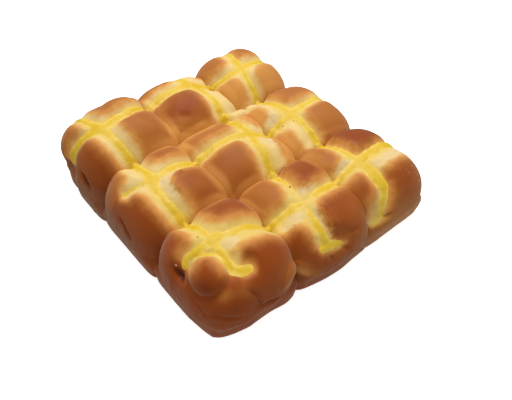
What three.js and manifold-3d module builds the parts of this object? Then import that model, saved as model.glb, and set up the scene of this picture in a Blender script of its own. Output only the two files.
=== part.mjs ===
// A pull-apart slab of custard potato buns. Nine balls of dough rose in a square tin until they
// met, so they baked into one piece of bread with a crease between every two buns. Six lines of
// custard were piped across them first, three each way, so two lines cross on every bun and the
// dough swelled up round them into four cushions.
//
// Millimetres, +Z up, +X to the right and +Y to the back. The origin is the middle of the slab's
// footprint, at the height that it rests on.
import * as THREE from "three";
import { mergeVertices } from "three/addons/utils/BufferGeometryUtils.js";
import Module from "manifold-3d";

// Driving dimensions of the bread
const TIN_DEPTH = 17; // height of the straight wall that the tin gave the slab
const FOOT_SHARE = 0.915; // width of the foot, as a share of the bun's widest part
const FOOT_ROUND = 1.4; // height of the rounded edge under the foot
const WALL_SHARE = 0.945; // width at the top of the tin's wall
const LIP_SHARE = 0.99; // width where the dough rolled out over the tin's rim
const DOME_POWER = 2.5; // 2 is a round dome, more is a flatter one with steeper sides
const FREE_CORNER_POWER = 3.3; // how square a dome is at a corner that rose freely
const PRESSED_CORNER_POWER = 6; // how square it is at a corner where four buns meet
const FOOT_CORNER_POWER = 4.2; // how square a foot is at a corner of the tin
const FOOT_EDGE_POWER = 9; // how square it is where two feet meet along the tin's wall
const FRONT_SETBACK = 1.2; // how far the feet of the front row lie back under their domes
const CORE_SIZE = [130, 136, 25]; // the dough that closed up under the corners of four buns

// Driving dimensions of the custard
const GROOVE_DEPTH = 4.6; // how far the dough stands up round a line of custard
const GROOVE_REACH = 6.8; // distance from the line at which most of that depth is gone
const GROOVE_FLOOR = 20; // height below which the side of a bun has no groove
const GROOVE_FADE = 9; // height over which a groove runs out there
const CUSTARD_HALF_WIDTH = 5.2;
const CUSTARD_CROWN = 1.8; // height of a line's rounded top above the groove
const CUSTARD_SINK = 3; // depth of a line below the groove's floor, before the bread is cut away
const CUSTARD_BRIDGE = 6; // length over which a line evens out the crease that it crosses
const CUSTARD_GAP = 0.5; // clearance to the bread, measured along the bread's swell

// Fineness of the faceted surfaces
const BUN_SIDES = 32;
const SIDES_TO_GROOVES = 0.3; // how strongly those sides crowd towards the grooves, under 1
const DOME_RINGS = 10;
const DOME_START = 0.14; // angle of the dome's first ring, above the roll over the rim
const LINE_STEP = 6; // length of one facet along a line of custard
const LINE_SIDES = 6;
const CURVE_SAMPLES = 90;
const SLOPE_STEP = 4; // distance over which the slope of the bread is taken

// The buns: middle of each, half of its widest size along X and Y, height of its top, and where its
// two lines of custard cross
const BUNS = {
  backLeft: { x: -59.5, y: 65, halfX: 38.5, halfY: 36.5, top: 58.5, cross: [-70, 65] },
  backMiddle: { x: -1, y: 66.5, halfX: 35.5, halfY: 36.5, top: 52, cross: [12, 76] },
  backRight: { x: 55.5, y: 68, halfX: 34.5, halfY: 35, top: 54, cross: [54, 64] },
  left: { x: -60.5, y: 3.5, halfX: 36.5, halfY: 37, top: 52, cross: [-65, 8] },
  middle: { x: -1, y: 3, halfX: 37, halfY: 36.5, top: 50, cross: [15, 7] },
  right: { x: 61.5, y: 4, halfX: 35.5, halfY: 38.5, top: 49, cross: [51, 4] },
  frontLeft: { x: -59, y: -60.5, halfX: 37, halfY: 38, top: 52, cross: [-66, -58] },
  frontMiddle: { x: 5, y: -63.5, halfX: 37, halfY: 39.5, top: 48, cross: [0, -66] },
  frontRight: { x: 61.5, y: -62.5, halfX: 36.5, halfY: 40.5, top: 51, cross: [53, -65] },
};
const ALL_BUNS = Object.values(BUNS);

// Cushions that rose into a ball of their own: middle in plan, reach and height of the swelling
const BALLS = [
  { x: -83, y: -76, reach: 12, height: 4 },
  { x: -7, y: 51, reach: 17, height: 1.5 },
];

// The lines of custard in plan: each starts on one side of the slab, runs over the crosses of three
// buns and the creases between them, and ends on the other side
const CUSTARD_LINES = [
  [[-96, 65], BUNS.backLeft.cross, [-38, 70], BUNS.backMiddle.cross, BUNS.backRight.cross, [84, 68]],
  [[-83, 10], BUNS.left.cross, [-33, 10], BUNS.middle.cross, BUNS.right.cross, [91, 8]],
  [[-89, -50], BUNS.frontLeft.cross, [-28, -60], BUNS.frontMiddle.cross, BUNS.frontRight.cross, [91, -62]],
  [[-76, 92], BUNS.backLeft.cross, [-64, 34], BUNS.left.cross, [-67, -27], BUNS.frontLeft.cross, [-65, -84]],
  [[10, 88], BUNS.backMiddle.cross, [16, 38], BUNS.middle.cross, [8, -27], BUNS.frontMiddle.cross, [-4, -98]],
  [[59, 94], BUNS.backRight.cross, [51, 38], BUNS.right.cross, BUNS.frontRight.cross, [51, -88], [39, -99.5]],
];

// Custard that ran sideways on the front of the middle bun, where its line ends
const CUSTARD_RUN = [[-12, -97], [-4, -97], [3, -98], [8, -98]];

const wasm = await Module();
wasm.setup();

// A rounded hump: 1 at no distance, falling off over its reach.
const bell = (distance, reach) => Math.exp(-((distance / reach) ** 2));

// A closed three.js geometry as a solid that can be joined and cut.
function solidOf(geometry) {
  geometry.deleteAttribute("normal");
  geometry.deleteAttribute("uv");
  const merged = mergeVertices(geometry, 1e-3);
  return new wasm.Manifold(
    new wasm.Mesh({
      numProp: 3,
      vertProperties: merged.attributes.position.array,
      triVerts: new Uint32Array(merged.index.array),
    }),
  );
}

// A solid back as a three.js geometry.
function geometryOf(solid) {
  const { vertProperties, triVerts } = solid.getMesh();
  const geometry = new THREE.BufferGeometry();
  geometry.setAttribute("position", new THREE.BufferAttribute(vertProperties, 3));
  geometry.setIndex(new THREE.BufferAttribute(triVerts, 1));
  geometry.computeVertexNormals();
  return geometry;
}

const planCurve = (points) => new THREE.SplineCurve(points.map(([x, y]) => new THREE.Vector2(x, y)));
const planCurves = CUSTARD_LINES.map(planCurve);
const planSamples = planCurves.map((curve) => curve.getSpacedPoints(CURVE_SAMPLES));

// Distance in plan from a point to a sampled curve.
function distanceTo(samples, x, y) {
  let nearest = Infinity;
  for (let i = 1; i < samples.length; i++) {
    const a = samples[i - 1];
    const b = samples[i];
    const along = THREE.MathUtils.clamp(
      ((x - a.x) * (b.x - a.x) + (y - a.y) * (b.y - a.y)) / a.distanceToSquared(b),
      0,
      1,
    );
    nearest = Math.min(nearest, Math.hypot(x - a.x - along * (b.x - a.x), y - a.y - along * (b.y - a.y)));
  }
  return nearest;
}

// Share of the full groove depth at a point in plan, where crossing grooves run into each other.
function grooveShare(x, y) {
  let left = 1;
  for (const samples of planSamples) left *= 1 - bell(distanceTo(samples, x, y), GROOVE_REACH);
  return 1 - left;
}

// Height of the balls at a point in plan.
function ballHeight(x, y) {
  const heights = BALLS.map((ball) => ball.height * bell(Math.hypot(x - ball.x, y - ball.y), ball.reach));
  return heights.reduce((sum, height) => sum + height);
}

// How square a bun's plan is towards a direction, from the number of sides there that press on
// another bun: none at a corner of the slab, one along its edge and two inside it.
function cornerPower(bun, dx, dy, powers) {
  const pressed = (place, step) => Math.abs(place) < bun.halfX / 2 || place * step < 0;
  return powers[Number(pressed(bun.x, dx)) + Number(pressed(bun.y, dy))];
}
const DOME_POWERS = [FREE_CORNER_POWER, FREE_CORNER_POWER, PRESSED_CORNER_POWER];
const FOOT_POWERS = [FOOT_CORNER_POWER, FOOT_EDGE_POWER, PRESSED_CORNER_POWER];

// How far out a point in plan lies on a bun: 0 at its middle and 1 at its rim, a squared circle.
function rimShare(bun, x, y, powers = DOME_POWERS) {
  const dx = (x - bun.x) / bun.halfX;
  const dy = (y - bun.y) / bun.halfY;
  const power = cornerPower(bun, dx, dy, powers);
  return (Math.abs(dx) ** power + Math.abs(dy) ** power) ** (1 / power);
}

// Height of a bun's dome above the tin's rim, as a share of its whole rise.
const domeShare = (share) => Math.max(0, 1 - share ** DOME_POWER) ** (1 / DOME_POWER);

// The point on a bun's rim that lies in a direction from the cross of its two lines.
function rimPoint(bun, angle, powers) {
  const [x, y] = bun.cross;
  let near = 0;
  let far = 2 * (bun.halfX + bun.halfY);
  for (let i = 0; i < 40; i++) {
    const middle = (near + far) / 2;
    const inside = rimShare(bun, x + middle * Math.cos(angle), y + middle * Math.sin(angle), powers) < 1;
    if (inside) near = middle;
    else far = middle;
  }
  return new THREE.Vector2(x + near * Math.cos(angle), y + near * Math.sin(angle));
}

// Half-section of a bun, from the middle of its foot up to the cross on its top. The wall is given
// as shares of the bun's widest part against height, and the dome as shares of the way to the
// cross, with its height left to the dome.
const WALL_PROFILE = [
  [0, 0],
  [FOOT_SHARE, 0],
  [FOOT_SHARE + 0.012, FOOT_ROUND],
  [(FOOT_SHARE + WALL_SHARE) / 2 + 0.006, TIN_DEPTH / 2],
  [WALL_SHARE, TIN_DEPTH],
];
const DOME_PROFILE = Array.from({ length: DOME_RINGS + 1 }, (_, i) => {
  const angle = DOME_START + ((Math.PI / 2 - DOME_START) * i) / DOME_RINGS;
  return [i === DOME_RINGS ? 0 : Math.cos(angle) ** (2 / DOME_POWER), TIN_DEPTH + 1 + i];
});
const BUN_PROFILE = [...WALL_PROFILE, ...DOME_PROFILE].map((ring) => new THREE.Vector2(...ring));

// One bun: a turned profile, pressed square and domed, with the custard's grooves sunk into its
// top. The skin is how far the whole surface swells outwards.
function bunSolid(bun, skin = 0) {
  const geometry = new THREE.LatheGeometry(BUN_PROFILE, BUN_SIDES);
  const position = geometry.attributes.position;
  const heart = new THREE.Vector3(bun.x, bun.y, TIN_DEPTH / 2);
  for (let i = 0; i < position.count; i++) {
    const turn = Math.atan2(position.getX(i), position.getZ(i));
    const share = Math.hypot(position.getX(i), position.getZ(i));
    const height = position.getY(i);
    const powers = height > TIN_DEPTH ? DOME_POWERS : FOOT_POWERS;
    const rim = rimPoint(bun, turn - (SIDES_TO_GROOVES * Math.sin(4 * turn)) / 4, powers);
    const point = new THREE.Vector3();
    if (height > TIN_DEPTH) {
      point.x = bun.cross[0] + LIP_SHARE * share * (rim.x - bun.cross[0]);
      point.y = bun.cross[1] + LIP_SHARE * share * (rim.y - bun.cross[1]);
      const dome = domeShare(rimShare(bun, point.x, point.y) / LIP_SHARE);
      point.z = TIN_DEPTH + (bun.top - TIN_DEPTH) * dome;
    } else {
      const setback = bun.y < -bun.halfY ? FRONT_SETBACK : 0;
      point.set(bun.x + share * (rim.x - bun.x), bun.y + share * (rim.y - bun.y) + setback, height);
    }
    const fade = THREE.MathUtils.smoothstep(point.z, GROOVE_FLOOR, GROOVE_FLOOR + GROOVE_FADE);
    const relief = ballHeight(point.x, point.y) - GROOVE_DEPTH * grooveShare(point.x, point.y);
    const swell = point.clone().sub(heart).normalize();
    point.addScaledVector(swell, skin + relief * fade);
    if (height < FOOT_ROUND) point.z = Math.min(height, point.z);
    position.setXYZ(i, point.x, point.y, point.z);
  }
  return solidOf(geometry);
}

const joined = (solids) => solids.reduce((whole, solid) => whole.add(solid));
const core = solidOf(new THREE.BoxGeometry(...CORE_SIZE).translate(0, 0, CORE_SIZE[2] / 2));
const bread = joined([core, ...ALL_BUNS.map((bun) => bunSolid(bun))]);

// Height of the bread's top at a point in plan, with the groove taken off.
function breadHeight(x, y) {
  const domes = ALL_BUNS.map((bun) => (bun.top - TIN_DEPTH) * domeShare(rimShare(bun, x, y) / LIP_SHARE));
  return TIN_DEPTH + Math.max(...domes) - GROOVE_DEPTH * grooveShare(x, y);
}

// Direction straight out of the bread at a point in plan.
function breadNormal(x, y) {
  const slopeX = breadHeight(x + SLOPE_STEP, y) - breadHeight(x - SLOPE_STEP, y);
  const slopeY = breadHeight(x, y + SLOPE_STEP) - breadHeight(x, y - SLOPE_STEP);
  return new THREE.Vector3(-slopeX, -slopeY, 2 * SLOPE_STEP).normalize();
}

// The way that a line of custard takes over the bread, evened out where it crosses a crease.
function custardPath(curve) {
  const steps = Math.ceil(curve.getLength() / LINE_STEP);
  const plan = curve.getSpacedPoints(steps);
  const heights = plan.map((p) => breadHeight(p.x, p.y));
  const window = Math.round(CUSTARD_BRIDGE / LINE_STEP);
  return plan.map((p, i) => {
    const near = heights.slice(Math.max(0, i - window), i + window + 1);
    const mean = near.reduce((sum, h) => sum + h, 0) / near.length;
    return new THREE.Vector3(p.x, p.y, Math.max(heights[i], mean));
  });
}

// One line of custard: a capped cylinder bent along its way, flattened, with rounded ends.
function custardSolid(curve) {
  const path = custardPath(curve);
  const steps = path.length - 1;
  const geometry = new THREE.CylinderGeometry(1, 1, 1, LINE_SIDES, steps);
  const position = geometry.attributes.position;
  for (let i = 0; i < position.count; i++) {
    const station = Math.round((position.getY(i) + 0.5) * steps);
    const before = path[Math.max(0, station - 1)];
    const after = path[Math.min(steps, station + 1)];
    const ahead = after.clone().sub(before).normalize();
    const side = ahead.clone().cross(breadNormal(path[station].x, path[station].y)).normalize();
    const out = side.clone().cross(ahead);
    const fromEnd = Math.min(station, steps - station) + 0.35;
    const width = CUSTARD_HALF_WIDTH * Math.sqrt(Math.min(1, fromEnd / 2));
    const across = position.getX(i) * width;
    const lift = position.getZ(i) * (position.getZ(i) > 0 ? CUSTARD_CROWN : CUSTARD_SINK);
    const point = path[station].clone().addScaledVector(side, across).addScaledVector(out, lift);
    position.setXYZ(i, point.x, point.y, point.z);
  }
  return solidOf(geometry);
}

const swollenBread = joined(ALL_BUNS.map((bun) => bunSolid(bun, CUSTARD_GAP)));
const custard = joined([...planCurves, planCurve(CUSTARD_RUN)].map(custardSolid)).subtract(swollenBread);

const crust = new THREE.MeshStandardMaterial({ color: 0xb8743a, roughness: 0.55, metalness: 0 });
const yellow = new THREE.MeshStandardMaterial({ color: 0xf0cd44, roughness: 0.5, metalness: 0 });

function node(name, solid, material) {
  const mesh = new THREE.Mesh(geometryOf(solid), material);
  mesh.name = name;
  return mesh;
}

const slab = new THREE.Group();
slab.add(node("bread", bread, crust), node("custard", custard, yellow));

export default slab;
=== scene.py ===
"""Custard potato buns: nine buns baked into one slab, with six lines of custard piped across them.

Lengths in the tables and functions are millimetres, +Z up, +X to the right and +Y to the back. The
origin is the middle of the slab's footprint, at the height that it rests on.
"""

from typing import NamedTuple

import bpy
import numpy as np
from mathutils import Matrix, Vector, noise


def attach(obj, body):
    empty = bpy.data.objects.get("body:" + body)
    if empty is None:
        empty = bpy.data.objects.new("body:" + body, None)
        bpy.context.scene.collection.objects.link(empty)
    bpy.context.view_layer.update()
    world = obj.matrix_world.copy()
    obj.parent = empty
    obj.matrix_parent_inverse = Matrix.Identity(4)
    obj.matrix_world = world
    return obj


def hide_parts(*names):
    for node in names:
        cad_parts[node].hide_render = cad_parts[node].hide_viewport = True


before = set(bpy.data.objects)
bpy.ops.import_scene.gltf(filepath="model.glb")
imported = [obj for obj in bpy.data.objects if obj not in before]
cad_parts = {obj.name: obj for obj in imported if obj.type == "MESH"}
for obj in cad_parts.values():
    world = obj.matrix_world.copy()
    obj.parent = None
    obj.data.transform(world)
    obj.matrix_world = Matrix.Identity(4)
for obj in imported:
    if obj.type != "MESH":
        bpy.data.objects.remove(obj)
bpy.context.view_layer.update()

bl_info = {
    "name": "Custard Potato Buns",
    "version": (1, 0, 0),
    "blender": (4, 5, 0),
    "location": "View3D > Sidebar > Buns",
    "description": "Nine pull-apart buns with piped custard, on a plain stage",
    "category": "Object",
}

MM = 0.001

HALF_WIDTH = 97  # of the slab, along X
HALF_LENGTH = 102  # of the slab, along Y


class Bun(NamedTuple):
    """Middle of a bun, half of its widest size along X and Y, and height of its top."""

    x: float
    y: float
    half_x: float
    half_y: float
    top: float


BUNS = {
    "back_left": Bun(-59.5, 65, 38.5, 36.5, 58.5),
    "back_middle": Bun(-1, 66.5, 35.5, 36.5, 52),
    "back_right": Bun(56, 68, 33.6, 35, 54.6),
    "left": Bun(-60.5, 3.5, 36.5, 37, 52),
    "middle": Bun(-1, 3, 37, 36.5, 50),
    "right": Bun(61.5, 4, 35.5, 38.5, 49),
    "front_left": Bun(-59, -60.5, 37, 38, 52),
    "front_middle": Bun(5, -63.5, 37, 39.5, 48),
    "front_right": Bun(61.5, -63, 36.5, 39.8, 50.6),
}

# Shape of a bun
DOME_POWER = 2.5  # of the dome's outline
FREE_POWERS = (3.3, 3.3, 6)  # of the plan towards a corner where no, one or two sides press on a bun
FOOT_POWERS = (8, 9, 6)  # the same at the foot
LIP_SHARE = 0.99  # width of the dome's rim, as a share of the bun
RISE_HEIGHT = 8.5  # where the dough rose from
PROFILE_STEPS = 600  # in which the dome's outline is measured
OWN_SHARE = 0.985  # past this share of a bun, a place in plan is its neighbour's
OWN_DROP = 100  # how steeply that is decided

# The side of a bun from under its lip down to the foot: share of the bun's width, share of the
# tin's depth, and how far it has turned from the dome's plan into the foot's
WALL_ROWS = (
    (0.987, 0.93, 0.15),
    (0.98, 0.87, 0.35),
    (0.973, 0.82, 0.55),
    (0.965, 0.74, 0.8),
    (0.954, 0.6, 1),
    (0.946, 0.45, 1),
    (0.939, 0.31, 1),
    (0.933, 0.19, 1),
    (0.928, 0.09, 1),
    (0.922, 0.03, 1),
    (0.913, 0, 1),
)

# Where the foot stands in from its buns: depth, and from where to where along the side it comes in
NEAR_CORNER_FRONT = (5.2, 66, 97)
NEAR_CORNER_LEFT = (2, 60, 85)
FAR_CORNER_LEFT = (4.5, 62, 88)
MIDDLE_FRONT = (3, 2, 26)
FAR_CORNER_HEIGHTS = (17, 36)  # between which the far corner comes out again
FRONT_SETBACK = 1.2  # all along the front

# Bulges of the foot along X: height, middle and reach
NEAR_LOBE = (1.8, -38, 9)
MIDDLE_LOBE = (1, 8, 10)

# Zones of the slab, as shares of the way from its middle to its sides
OUTER_ZONE = (0.85, 0.93)  # the outer sides
SHALLOW_ZONE = (0.72, 0.92)  # shallower grooves, at the right and the back
OUTSIDE_ZONE = (0.72, 0.9)  # crust that is finished as an outer side
OPEN_ZONE = (0.35, 0.8)  # crust that no other bun shelters

# Each line of custard in plan, as one or two strokes, with half of its width at each place: three rows
# from left to right, then three columns from back to front
ROWS = (
    (
        (
            (-97, 71, 6.5), (-91.5, 71.5, 5), (-86, 69.8, 3.6), (-80, 68, 3.2), (-70, 65, 5),
            (-50, 67.5, 3.6), (-38, 71, 3.3), (-28, 74, 3.2), (-10, 75.5, 3.6), (10, 75, 4.4),
            (22, 73, 3.4), (34, 66.5, 3.2), (44, 63.5, 3.6), (54, 63.5, 3.8), (70, 65, 3.6), (84, 68, 3),
        ),
    ),
    (
        ((-85, 12.5, 1.2), (-81, 11.5, 1.7), (-77, 10, 1.3)),
        (
            (-72, 8.5, 2), (-66, 8, 4.6), (-57, 8.5, 2.6), (-48, 9.5, 3.2), (-33, 10, 3.3),
            (-15, 10, 3.5), (0, 9, 3.5), (13, 6, 5), (22, 4, 3.8), (33, 3, 3.5), (44, 3, 3.7),
            (53, 4, 4.6), (66, 5, 3.6), (80, 6.5, 3.2), (91, 8, 2.6),
        ),
    ),
    (
        (
            (-87.5, -56.5, 2.2), (-84.5, -54, 3), (-78, -54.5, 3.4), (-72, -55, 3.4), (-63, -55, 5.4),
            (-57, -57, 2.6), (-52, -58.5, 3.6), (-40, -60.3, 3.2), (-28, -62, 3.2), (-15, -64.5, 3.6),
            (-6, -65, 3.6), (0, -65.5, 1.8),
        ),
        (
            (6, -65.5, 1.8), (12, -65, 3.2), (20, -64.5, 3.5), (32, -64, 3.6), (42, -63.5, 3.6),
            (54, -62.8, 4.2), (70, -62.5, 4.8), (91, -62, 4.4),
        ),
    ),
)
COLUMNS = (
    (
        (
            (-76, 93, 2.6), (-74.5, 82, 3), (-70, 66, 4.8), (-68.5, 55, 3.4), (-66.5, 44, 3.6),
            (-65, 34, 3.8), (-65.5, 20, 3.4), (-66, 8, 4.6), (-69, -2, 3.4), (-69, -14, 3.6),
            (-67, -27, 3.8), (-66.5, -38, 3.4), (-66, -48, 3), (-66.5, -58, 3.4), (-68, -70, 3.8),
            (-68, -76, 4),
        ),
    ),
    (
        (
            (10, 90, 2.5), (12, 77, 4.4), (16.5, 62, 3.2), (17, 50, 3.3), (15.5, 40, 3.5),
            (14.5, 28, 3.4), (14, 7, 5), (11, -5, 3.7), (10, -15, 4), (7.5, -25, 3.8), (5.5, -33, 3.4),
            (4, -42, 2.6), (3, -48, 1.4),
        ),
        ((-2.5, -71, 1.6), (-4, -77, 3), (-5, -85, 4), (-5, -93, 4)),
    ),
    (
        (
            (59, 94, 2.5), (57.5, 82, 3), (54, 65, 4.2), (50.5, 54, 3.5), (50, 44, 3.6), (49.5, 36, 3.4),
            (51, 24, 3.9), (52, 5, 4.8), (52.5, -8, 3.7), (52.5, -20, 3.7), (52, -32, 3.6),
            (52.5, -48, 3.2), (53, -62, 4.2), (53.5, -75, 5.4), (53, -85, 6.2), (50.8, -90.5, 4),
            (47.3, -94, 3), (42.5, -96.5, 2.2), (37, -98, 1.4),
        ),
    ),
)

# Custard that ran off its lines, likewise: the hook beside the ball at the near corner, a thread over
# that ball, the run at the front and a blob at the far left
SPILLS = (
    ((-68, -74, 4), (-67.5, -78.5, 4.4), (-64.5, -81.5, 4.2), (-59.5, -82.5, 3.4)),
    ((-78, -55.5, 1.6), (-73.5, -61.5, 2), (-67, -67, 2)),
    ((-10, -94.5, 2.8), (-5, -95, 3.8), (1, -96.5, 3), (8, -98.5, 1.2)),
    ((-80, 95, 3.2), (-75, 91, 3.6)),
)

LINE_STEP = 3  # along a whole line
STROKE_STEP = 2  # along a stroke
CURVE_STEPS = 40  # of a curve from point to point, before they are made even

# The four cushions of each bun, far left, far right, near left and near right: how far from the row
# and from the column of custard they are browned, and how dark they are
CUSHIONS = {
    "back_left": ((5.5, 6, 0.6), (7, 8, 0.65), (4, 10, 1), (4, 10, 0.68)),
    "back_middle": ((8.5, 8, 0.6), (9, 11, 0.4), (5, 8.5, 0.95), (9, 13, 0.05)),
    "back_right": ((8, 9.5, 0.45), (8, 4, 0.6), (6.5, 8, 0.2), (7.5, 8.5, 0.22)),
    "left": ((5, 13, 0.75), (7.5, 8, 0.85), (7, 9, 1.05), (7.5, 10, 0.85)),
    "middle": ((7, 6.5, 0.45), (10, 7, 0.05), (6.5, 9, 0.78), (8, 13.5, 0.1)),
    "right": ((10, 11, 0.15), (7, 6.5, 0.65), (7.5, 14, 0.1), (6.5, 6.5, 0.6)),
    "front_left": ((5, 9, 1.1), (8, 8.5, 0.95), (8, 6.5, 1.1), (12.5, 6, 1.1)),
    "front_middle": ((7, 7.5, 0.68), (7, 4, 1.12), (12, 8, 1.1), (6, 6, 1)),
    "front_right": ((7, 7.5, 0.68), (4, 4.5, 1.35), (7.5, 6, 0.95), (16.5, 4, 1.05)),
}

CUSHION_CORNER = 7  # radius of a browned corner
CUSHION_BLEND = 3  # half of the width in which one cushion turns into the next

# How far down the outer sides the dough stayed pale under the end of a line of custard
PALE_FLOOR = 28
PALE_FLOORS = {"back_left": 30, "left": 44, "front_left": 41, "front_middle": 35, "front_right": 24}
PALE_END_SLOPE = 1.6  # how fast it browns below that
SPILL_OVERLAP = 0.6  # how far browned crust reaches under a spill
SPILL_SLOPE = 1.7  # how fast it browns beside one

# Where a cushion stayed paler than its neighbourhood, or below 0 browner: middle in plan, reach and depth
PALE_SPOTS = ((-61.5, -75, 3, 4), (31, 34, 8, 12), (-91, -56, 6, -10), (-72, -84, 5, -5))

# Where the crust is darker than the rest of its cushion, or below 0 lighter: place, reach and change.
# Some are the crust's own tone; others are painted light and shade, lighter where the crust lies in shade
# low at the front and in the seams, and darker beside the ball at the near corner
TONE_AND_LIGHT_SPOTS = (
    ((-87, -79, 45), 6, 0.6),
    ((-82, -88, 41), 6, -0.45),
    ((-71, -91, 39), 7, -0.35),
    ((-79, -95, 32), 7, 0.5),
    ((-22, 40, 43), 9, -0.6),
    ((-5, 36, 40), 8, -0.6),
    ((-13, 49, 50), 7, 0.2),
    ((-34, -97, 24), 12, -0.8),
    ((-22, -98, 14), 14, -0.6),
    ((-21, 66, 48), 7, -0.5),
    ((-58, -30, 40), 8, 0.3),
)

# Grooves under the custard
FLANK_WIDTHS = (4, 6, 8)  # steepest, even and flattest
LEAST_FLANK = 1.5
SHOULDER = 6  # width of the rounding on the cushion
GROOVE_SHARES = (-0.4, 1.5)  # of flank and shoulder, between which the dough rises
FAR_SHALLOWS = 0.6  # how much shallower they are at the right and the back
GROOVE_FLOOR = 24  # where they end on the outer sides
GROOVE_END_SLOPE = 0.8
RELIEF_HEIGHTS = (20, 29)  # between which grooves, balls and dimples come in above the wall

# Cushions that rose into a ball of their own: place on the dome, radius and height of the swelling,
# and depth of the crease round it as a share of the height
BALLS = (
    ((-83, -72.5, 47), 13, 5, 0.25),
    ((-7, 51, 50), 20, 1.8, 0),
    ((-34, -97, 24), 12, 3, 0),
    ((-40, 80, 52), 17, 2.2, 0),
)

BALL_POWER = 0.7
CREASE_PLACE = 1.05  # as a share of the radius
CREASE_WIDTH = 0.2  # likewise

# Dimples in plan: middle, reach and depth
DIMPLES = (
    (-58, 50, 1.6, 0.8), (-15, 47, 2.4, 0.7), (-11, 45, 2.4, 0.7), (22, -22, 3, 1), (8.5, -50, 2.5, 1),
)

# Slits and folds in the crust: both ends, reach and depth
SLITS = (
    ((-95, 53, 37), (-95.5, 44, 28), 1.6, 3.4),
    ((-95.5, 4, 33), (-95.6, -8, 25), 1.4, 3.2),
    ((-89.3, -50.5, 34.5), (-91.3, -61.5, 34.5), 2.3, 4),
    ((-90, -66, 35), (-92, -84, 27), 1.6, 1.2),
    ((-90, -87, 29), (-77, -96.5, 25), 1.2, 1.2),
    ((-68, -92, 39.5), (-62, -96, 32), 1.1, 1.5),
    ((-64.5, -95.5, 32), (-60.5, -97.8, 21.5), 1.1, 1.6),
    ((-66, -96, 26.5), (-57.5, -97.7, 20), 1.1, 1.4),
    ((-62, -98, 24), (-45, -98, 17), 1.4, 1.8),
    ((-8, -100, 30), (-4, -102, 22), 1.3, 1.3),
    ((5, -100.5, 29), (11, -102.5, 22), 1.3, 1.3),
    ((11, -97.5, 36), (20, -98, 33.5), 1.2, 1.2),
    ((45, -98, 26), (53, -101, 28.5), 1.4, 2),
)

SLIT_TAPER = 0.15  # share of its swell that each end lacks
SLIT_CUTS = 2  # depths off the skin within which it cuts

# Where the crust tore and ragged crumb shows beside the custard: middle in plan, reach along X and Y
TEARS = (
    (2.5, -84, 5, 14), (9, -58, 9, 5), (-14, -72, 11, 5), (44, -59, 9, 4), (74, -73, 17, 5),
    (-61, -4, 5, 15), (-58, -64, 8, 5), (-52, 2, 6, 5), (22, -8, 6, 8), (40, 10, 6, 5),
)

TEAR_SHARES = (0.25, 0.7)  # strength of a tear where it begins and where it is full
TEAR_DEPTH = 0.9  # height of the crust's torn edge
CRUMB_SIZES = (2.6, 1.4)  # of the lumps in the crumb
CRUMB_RAGGED = 2  # how ragged they make the edge
CRUMB_HEIGHT = 0.6  # of the lumps, as a share of the edge
CRUMB_SINK = 0.4  # of the crumb below the edge, likewise

# Seams between buns
SEAM_CLEARANCE = 8  # height above its neighbour at which a bun is clear of the seam
SEAM_RISE = 2.4  # how far the dough was lifted in a seam
SEAM_REACH = 14  # height over which that fades
SEAM_NEIGHBOUR = 26  # height of a neighbour that lifts it in full

# Wrinkles in the outer walls
WALL_WRINKLE = 0.5
WRINKLE_SIZES = (7, 2.6)
WRINKLE_STRETCH = (1, 1, 0.6)  # the large ones are drawn out upwards
SMALL_WRINKLES = 0.5  # depth of the small ones, as a share
WRINKLE_HEIGHTS = (24, 36)  # between which they fade
WRINKLE_START = 1  # height of the plain edge at the foot

CORE_SIZE = (150, 156, 25)  # of the dough under the buns
CORE_CUTS = 72

# Dough that closed up in the pits between four buns: middle in plan, reach and height
PITS = ((-28, 34, 9, 9), (30, 34, 12, 14), (-28, -28, 8, 6), (32, -27, 8, 8))

# Dough that closed up in the seams under the lines of custard, likewise
BRIDGES = (
    (-63, 33.5, 8, 15), (-66.5, -28, 5, 12), (15.5, 34.5, 7, 13), (7, -29, 7, 11), (50, 37, 5, 10),
    (52, -28.5, 5, 13), (-28, 73.5, 5, 18), (27, 71, 5, 17), (-31, 10, 5, 15), (31, 3.5, 5, 9.5),
    (-27, -62, 5, 10), (33, -64, 5, 16),
)

SCRAP_FACES = 60  # loose skin with no more faces than this is a scrap

# How far down the outer sides the custard runs
CUSTARD_FLOOR = 30
CUSTARD_FLOORS = {"back_left": 31, "left": 40, "front_left": 38, "front_middle": 29, "front_right": 20}
CUSTARD_END_SLOPE = 1.5  # how fast it ends below that
CUSTARD_CLEARANCE = 3  # above the tin's rim

# The layer of custard
EDGE_SIZES = (6, 2.2)  # of the lumps that make its edge ragged
EDGE_MARGIN = 0.6  # how far past the edge it takes the bread's skin
EDGE_SINK = 0.35  # how deep the edge lies in the bread
CROWN_CHANGE = 0.4  # unevenness of the crown, as a share
CROWN_SIZE = 5  # of the lumps in it
CROWN_REACHES = (-0.8, 2.4)  # inside the edge, between which it rises
CUSTARD_THICKNESS = 2
CUSTARD_GRAIN = 0.78  # of the mesh

# Bits on the crust, in plan with their radius: dark specks, and pale flecks, which are crumbs at the left
# and painted glints of the gloss on the near right cushion
SPECKS = (
    (41.5, 0, 0.5), (49, -3, 0.5), (3, -49.5, 0.7), (-71, -48.5, 0.5), (-28, -58, 0.6), (53, -60.5, 0.5),
)
PALE_FLECKS_AND_GLINTS = (
    (-89.2, -51, 0.8), (-58, 50, 0.6), (74.5, -88, 0.35), (82, -87.5, 0.5), (82.5, -93, 0.4),
    (82, -96, 0.5), (77.5, -94, 0.3), (75, -90.5, 0.3),
)

BIT_SHAPE = (1.2, 0.8, 0.5)
BIT_CHANGE = 0.4  # unevenness, as a share
BIT_SIZE = 0.9  # of the lumps in it
BIT_TURN = 2.4  # radians from one bit to the next
ABOVE_SLAB = 100  # where bits fall from

# Noise
CRUMB_SEED, WALL_SEED, EDGE_SEED, CROWN_SEED, BIT_SEED = 0, 2, 5, 20, 40
SEED_SHIFT = 37.7  # how far apart two seeds lie
FINER_SHARE = 0.7  # of the finer of two noises

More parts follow.
